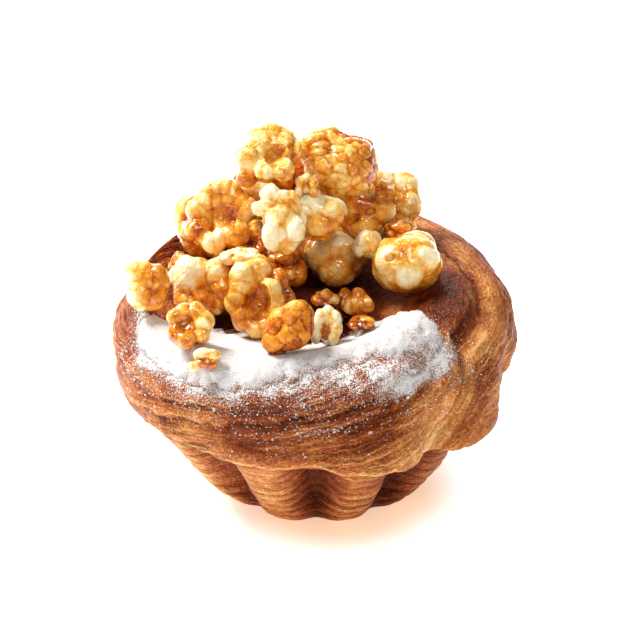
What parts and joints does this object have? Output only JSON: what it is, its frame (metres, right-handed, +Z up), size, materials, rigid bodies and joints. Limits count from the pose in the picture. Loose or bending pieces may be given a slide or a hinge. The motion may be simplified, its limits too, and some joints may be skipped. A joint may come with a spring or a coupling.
{
  "type": "croissant bun topped with caramel popcorn",
  "caption": "Round croissant bun with a fluted foot and a rolled crown, dusted with icing sugar, with caramel popcorn heaped in its hollow. It rests on its flat base.",
  "frame": {"origin": "middle of the flat base, on the surface that the bun stands on", "axes": "+Z up through the bun, -Y towards the sugared front, +X to the right of the front"},
  "size_m": [0.1101, 0.1124, 0.1023],
  "materials": {
    "crust": "baked laminated crust, golden to red-brown, satin",
    "sugar": "fine icing sugar, matt white",
    "popcorn_golden": "caramel glazed popcorn, golden, glossy",
    "popcorn_cream": "thinly glazed popcorn, cream, semi-gloss",
    "popcorn_amber": "thickly glazed popcorn, amber, glossy"
  },
  "bodies": {
    "root": {"bun": "crust", "icing_sugar": "sugar", "popcorn_top_left": "popcorn_golden", "popcorn_top_right": "popcorn_golden", "popcorn_top_curl": "popcorn_cream", "popcorn_left_shoulder": "popcorn_golden", "popcorn_middle_left": "popcorn_cream", "popcorn_middle": "popcorn_cream", "popcorn_right_shoulder": "popcorn_amber", "popcorn_middle_right": "popcorn_amber", "popcorn_bead": "popcorn_cream", "popcorn_glossy": "popcorn_golden", "popcorn_right_oval": "popcorn_cream", "popcorn_left_pair": "popcorn_golden", "popcorn_left_rim": "popcorn_golden", "popcorn_front_cup": "popcorn_golden", "popcorn_front_flake": "popcorn_cream", "popcorn_left_flake": "popcorn_cream", "popcorn_butterfly": "popcorn_golden", "popcorn_front_lump": "popcorn_amber", "popcorn_front_curl": "popcorn_cream", "popcorn_small_a": "popcorn_golden", "popcorn_small_b": "popcorn_golden", "popcorn_flat_flake": "popcorn_amber", "popcorn_dark_gap": "popcorn_amber", "popcorn_right_bit": "popcorn_amber", "popcorn_back_11": "popcorn_golden", "popcorn_back_12": "popcorn_cream", "popcorn_back_13": "popcorn_amber", "popcorn_back_14": "popcorn_golden", "popcorn_back_21": "popcorn_cream", "popcorn_back_22": "popcorn_amber", "popcorn_back_23": "popcorn_golden", "popcorn_back_31": "popcorn_amber", "popcorn_back_32": "popcorn_golden", "popcorn_back_33": "popcorn_cream", "popcorn_back_34": "popcorn_amber", "popcorn_back_41": "popcorn_golden", "popcorn_back_51": "popcorn_cream", "popcorn_back_52": "popcorn_amber"}
  },
  "joints": []
}
